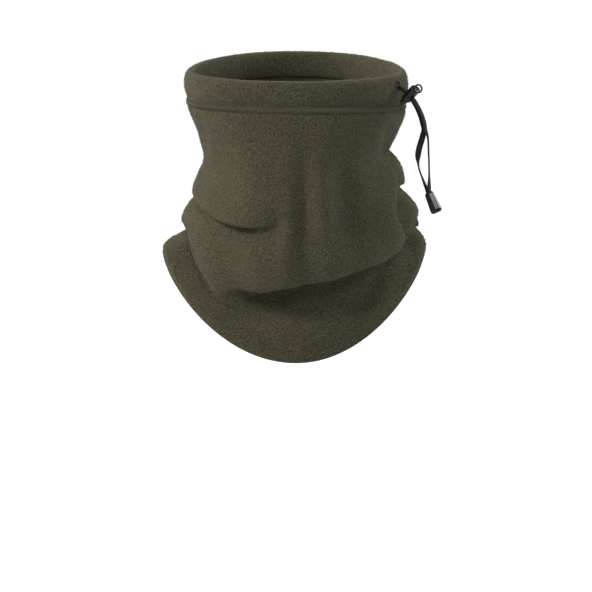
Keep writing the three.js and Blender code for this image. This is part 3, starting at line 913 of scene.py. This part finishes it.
buttonhole = {
    "count": 30, "beside": 0.75, "above": 0.8, "lift": 0.15, "size": (0.75, 0.75, 1.9),
    "bowAcross": 150, "bowDown": 0.012, "bowFrom": -10.5,  # how the casing curves away behind the stitches
}


def makeButtonhole(group, thread):
    hole = buttonhole
    places, along = [], []
    for turn in np.arange(hole["count"]) * 2 * math.pi / hole["count"]:
        side = (casing["slitWidth"] / 2 + hole["beside"]) * math.cos(turn)
        up = casing["slitAt"] + (casing["slitHeight"] / 2 + hole["above"]) * math.sin(turn)
        bow = -side * side / hole["bowAcross"] - hole["bowDown"] * (up - hole["bowFrom"]) ** 2
        places.append(fromTassel(bow + hole["lift"], up, side))
        along.append(tasselWay(0, math.sin(turn), math.cos(turn)))
    outward = [tasselWay(1, 0)] * hole["count"]
    stitches = sew("slitButtonhole", group, places, along, outward, hole["size"], thread)
    finishStitches(stitches, "slit_buttonhole")


pile = {
    "perBody": 32000, "perCasing": 9000, "length": 1.2, "width": 0.2, "lean": 0.5, "seed": 11,
    "standing": 0.3,  # how much of a fibre's length its middle is above the cloth
    "uneven": 0.4, "sides": 3, "rings": 2,
}


def makePile(name, points, closeRows, count, group, material, flip):
    # short fibres standing up from the cloth
    chance = np.random.default_rng(pile["seed"])
    nextColumn = np.roll(points, -1, axis=1)
    corners = (points, nextColumn, np.roll(points, -1, axis=0), np.roll(nextColumn, -1, axis=0))
    last = len(points) if closeRows else len(points) - 1
    a, b, c, d = (grid[:last].reshape(-1, 3) for grid in corners)
    normal = np.cross(c - a, b - a) * (-1 if flip else 1)
    area = np.linalg.norm(normal, axis=1)
    cells = chance.choice(len(a), count, p=area / area.sum())
    u, v = chance.random((2, count, 1))
    places = (a[cells] * (1 - u) + b[cells] * u) * (1 - v) + (c[cells] * (1 - u) + d[cells] * u) * v
    outward = normal[cells] / np.maximum(area[cells], 1e-9)[:, None]
    lean = chance.normal(size=(count, 3)) * pile["lean"]
    along = outward + lean - outward * (lean * outward).sum(axis=1)[:, None]
    along = unit(along)
    size = (pile["width"], pile["width"], pile["length"])
    places += along * pile["length"] * pile["standing"]
    fibres = sew(
        name, group, places, along, lean, size, material, pile["uneven"], pile["sides"], pile["rings"],
    )


cord = {"width": 4.6, "thickness": 1.3, "sides": 16, "edgePower": 0.6, "facePower": 0.55}


def sweep(name, centre, offsets, material):
    # a skin round a line of points; offsets holds each side's distances from that line
    sides, count = offsets.shape[:2]
    lengths = lengthsAlong(centre)
    uv = [(length / cord["width"], k / sides) for k in range(sides) for length in lengths]
    faces = gridFaces(sides, count, closeRows=True, closeColumns=False)
    faces.append(tuple(k * count for k in range(sides - 1, -1, -1)))
    faces.append(tuple(k * count + count - 1 for k in range(sides)))
    return makeMesh(name, (centre + offsets).reshape(-1, 3) * mm, faces, material, uv)


def ribbon(name, centre, wide, material):
    # a flat woven cord along a line of points; wide is the direction of its width at each of them
    ahead = unit(np.gradient(centre, axis=0))
    wide = unit(wide - ahead * (wide * ahead).sum(axis=1)[:, None])
    flat = np.cross(ahead, wide)
    turns = 2 * math.pi * (np.arange(cord["sides"]) + 0.5) / cord["sides"]
    offsets = np.array([
        wide * squared(math.cos(turn), cord["edgePower"]) * cord["width"] / 2
        + flat * squared(math.sin(turn), cord["facePower"]) * cord["thickness"] / 2
        for turn in turns
    ])
    return sweep(name, centre, offsets, material)


# The tassel's two tails lie on one upright plane, measured outwards and upwards from the slit. Each leaves
# the slit along the same bend, then takes its own route to the cord end. turns gives how the flat cord
# twists: (height, degrees), where -90 is edge on to the plane.
tails = {
    "bendCentre": (-21.5, -46.5), "bendRadius": 44.6, "start": 59.2, "part": 9, "beside": 0.8,
    "spread": 0.28, "spreadAt": 34, "spreadOver": 9,  # how far the pair slides apart, so far below the slit
    "joinsOver": 12, "joinsAt": 50,  # the pair lies side by side down to here
    "points": 150,
    "inner": {
        "node": "cord_tail_inner", "side": -1,
        "route": [(20.6, -46), (18, -54), (17, -61), (18, -69), (21.6, -77.5), (24.6, -83.8)],
        "turns": [(-8, -90), (-39, -90), (-46, -150), (-57, -150), (-65, -66), (-74, -62), (-83, -90)],
    },
    "outer": {
        "node": "cord_tail_outer", "side": 1,
        "route": [(25.4, -46), (26.1, -55), (26.5, -64), (26.7, -73), (26.7, -80)],
        "turns": [(-8, -90), (-39, -90), (-46, -66), (-72, -63), (-81, -90)],
    },
}
cordEnd = {"mouth": (26.3, -86.3), "tilt": 27, "depths": (0, 2.4, 4.3)}


def cordEndPoint(depth, aside):
    tilt = math.radians(cordEnd["tilt"])
    sin, cos = math.sin(tilt), math.cos(tilt)
    x, z = cordEnd["mouth"]
    return x + sin * depth + cos * aside, z - cos * depth + sin * aside


def makeTail(name, tail, material):
    side = tail["side"]
    (cx, cz), radius = tails["bendCentre"], tails["bendRadius"]
    bendTurns = np.radians(np.linspace(tails["start"], tails["part"], 10))
    bend = [(cx + radius * math.cos(turn), cz + radius * math.sin(turn)) for turn in bendTurns]
    ends = [cordEndPoint(depth, side * tails["beside"]) for depth in cordEnd["depths"]]
    knots = np.array(bend + tail["route"] + ends)
    plane = evenly(splineRows(knots, np.linspace(0, len(knots) - 1, 8 * len(knots))), tails["points"])
    ahead = unit(np.gradient(plane, axis=0))
    depths = -plane[:, 1]
    heightsGiven, turnsGiven = np.array(tail["turns"], float).T
    turns = np.radians(np.interp(depths, -heightsGiven, turnsGiven))
    turns = np.convolve(np.pad(turns, 4, mode="edge"), np.ones(9) / 9, mode="valid")
    pair = side * smoothStep((tails["joinsAt"] - depths) / tails["joinsOver"])
    apart = tails["spread"] * bell(depths - tails["spreadAt"], tails["spreadOver"])
    centre, wide = [], []
    for (x, z), (ax, az), turn, share, slide in zip(plane, ahead, turns, pair, apart):
        across, sideways = tasselWay(-az, ax), tasselWay(0, 0, 1)
        width = across * math.cos(turn) + sideways * math.sin(turn)
        stack = sideways * math.cos(turn) - across * math.sin(turn)
        centre.append(fromTassel(x, z) + share * (stack * (tails["beside"] + slide / 3) - width * slide))
        wide.append(width)
    centre = np.array(centre)
    piece = ribbon(name, centre, np.array(wide), material)
    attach(piece, "tassel")
    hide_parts(tail["node"])
    tuple(fromTassel(0, casing["slitAt"]) * mm)
    [tuple(p) for p in centre * mm]


drawcord = {"inset": 4.5, "height": -8, "leaves": 4.0, "ends": (-0.3, -1.8), "beside": 0.95, "points": 420}


def makeDrawcordLoop(material):
    perDegree = 4
    plan, out = openingPlan(np.radians(np.arange(360 * perDegree) / perDegree))
    track = plan - out * drawcord["inset"]
    angles = casing["slitAngle"] + np.linspace(drawcord["leaves"], 360 - drawcord["leaves"], 260)
    track = track[np.round(angles % 360 * perDegree).astype(int) % len(track)]
    ends, height, beside = drawcord["ends"], drawcord["height"], drawcord["beside"]
    route = [fromTassel(end, height, beside) for end in ends]
    route += [(x, y, height) for x, y in track]
    route += [fromTassel(end, height, -beside) for end in ends[::-1]]
    route = evenly(np.array(route), drawcord["points"])
    piece = ribbon("drawcordLoop", route, np.tile([0.0, 0.0, 1.0], (len(route), 1)), material)
    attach(piece, "gaiter")
    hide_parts("drawcord_loop")


def tube(name, centre, radius, material, sides=10):
    # a round wire along a line of points
    centre = np.array(centre)
    ahead = unit(np.gradient(centre, axis=0))
    normal = np.cross(ahead[0], (0.3, 0.2, 0.9))
    frames = []
    for way in ahead:
        normal = unit(normal - way * (normal @ way))
        frames.append(normal)
    frames = np.array(frames)
    other = np.cross(ahead, frames)
    turns = 2 * math.pi * np.arange(sides) / sides
    offsets = np.array([radius * (frames * math.cos(turn) + other * math.sin(turn)) for turn in turns])
    return sweep(name, centre, offsets, material)


knot = {"depth": 9.3, "radius": 0.56, "strand": 0.62, "reach": 3.3, "run": 0.985, "points": 160}


def makeKnot(material):
    # three crossings, drawn out along the cord end, that stop just short of closing
    tilt = math.radians(cordEnd["tilt"])
    middle = fromTassel(*cordEndPoint(knot["depth"], 0))
    down = tasselWay(math.sin(tilt), -math.cos(tilt))
    across = tasselWay(math.cos(tilt), math.sin(tilt))
    sideways = tasselWay(0, 0, 1)
    centre = []
    for turn in np.linspace(0, 2 * math.pi * knot["run"], knot["points"]):
        reach = knot["radius"] * (2 + math.cos(3 * turn))
        centre.append(
            middle + across * reach * math.cos(2 * turn) + sideways * reach * math.sin(2 * turn)
            + down * knot["reach"] * math.sin(3 * turn)
        )
    piece = tube("cordEndKnot", centre, knot["strand"], material)
    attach(piece, "tassel")
    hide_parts("cord_end_knot")
    return piece


# Each is taken from its solid and given the soft edges and smooth curves of a moulding.
moulded = {
    "cordEndShell": {"node": "cord_end_shell", "body": "tassel", "grain": 0.17, "softening": 8},
    "cordLockBarrel": {"node": "cord_lock_barrel", "body": "cord_lock", "grain": 0.15, "softening": 14},
    "cordLockPlunger": {"node": "cord_lock_plunger", "body": "plunger", "grain": 0.14, "softening": 10},
}


def makeMoulded(name, material):
    values = moulded[name]
    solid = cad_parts[values["node"]]
    data = solid.data.copy()
    data.transform(solid.matrix_world)
    merged = bmesh.new()
    merged.from_mesh(data)
    bmesh.ops.remove_doubles(merged, verts=merged.verts, dist=0.000001)
    merged.to_mesh(data)
    merged.free()
    data.materials.clear()
    data.materials.append(material)
    piece = addObject(name, data)
    fine = piece.modifiers.new("fine", "REMESH")
    fine.mode = "VOXEL"
    fine.voxel_size = values["grain"] * mm
    fine.use_smooth_shade = True
    soft = piece.modifiers.new("soft", "SMOOTH")
    soft.iterations = values["softening"]
    applyModifiers(piece)
    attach(piece, values["body"])
    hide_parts(values["node"])
    return piece


# lock is the middle of the cord lock on the tassel's plane; the other places are along the spring from there
spring = {
    "lock": (9.65, -14.58), "lean": 44.3, "from": 3.8, "to": 6.15, "end": 6.375,
    "radius": 1.75, "wire": 0.45, "turns": 3, "points": 120,
}


def makeSpring(material):
    lean = math.radians(spring["lean"])
    axis = tasselWay(math.sin(lean), math.cos(lean))
    across = tasselWay(math.cos(lean), -math.sin(lean))
    sideways = tasselWay(0, 0, 1)
    centre = fromTassel(*spring["lock"])
    line = []
    for share in np.linspace(0, 1, spring["points"]):
        turn = 2 * math.pi * spring["turns"] * share
        along = spring["from"] + (spring["to"] - spring["from"]) * (smoothStep(share) + share) / 2
        line.append(
            centre + axis * along + across * spring["radius"] * math.cos(turn)
            + sideways * spring["radius"] * math.sin(turn)
        )
    piece = tube("cordLockSpring", line, spring["wire"] / 2, material, sides=8)
    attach(piece, "cord_lock")
    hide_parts("cord_lock_spring")
    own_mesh(piece)


# in metres; the floor glows so that it stays pale
stage = {"height": -0.36, "reach": 9.0, "sides": 64, "grey": 0.2, "glow": 0.95}


def makeStageMaterial():
    made = Finish("paleStage", (stage["grey"],) * 3, **{
        "Roughness": 0.95, "Specular IOR Level": 0.0, "Emission Color": (1, 1, 1, 1),
        "Emission Strength": stage["glow"],
    })
    return made.done()


def makeStage(pale):
    sides, reach = stage["sides"], stage["reach"]
    points = [(0, 0, stage["height"])]
    for k in range(sides):
        turn = 2 * math.pi * k / sides
        points.append((reach * math.cos(turn), reach * math.sin(turn), stage["height"]))
    makeMesh("studioFloor", points, [(0, k + 1, (k + 1) % sides + 1) for k in range(sides)], pale)


makeCamera()
makeLight()
print("camera and light")
fleece = makeFleeceMaterial()
cordFinish = makeCordMaterial()
plastic = makePlasticMaterial()
steel = makeSteelMaterial()
thread = makeThreadMaterial()
makeStage(makeStageMaterial())
sewing = makeSewing()
shell = makeMoulded("cordEndShell", plastic)
knotted = makeKnot(cordFinish)
makeTail("cordTailInner", tails["inner"], cordFinish)
makeTail("cordTailOuter", tails["outer"], cordFinish)
makeDrawcordLoop(cordFinish)
print("cord")
makeMoulded("cordLockBarrel", plastic)
makeMoulded("cordLockPlunger", plastic)
makeSpring(steel)
print("cord lock")
cloth = makeFleeceBody(fleece)
print("fleece draped")
band = makeCasing(fleece)
print("casing")
makeCoverstitch(cloth, sewing, thread)
makeSideSeam(cloth, sewing, thread)
makeHemThread(cloth, sewing, thread)
makeButtonhole(sewing, thread)
print("stitches")
tips = makePileMaterial()
makePile("bodyPile", cloth, False, pile["perBody"], sewing, tips, False)
makePile("casingPile", band, True, pile["perCasing"], sewing, tips, True)
print("pile")
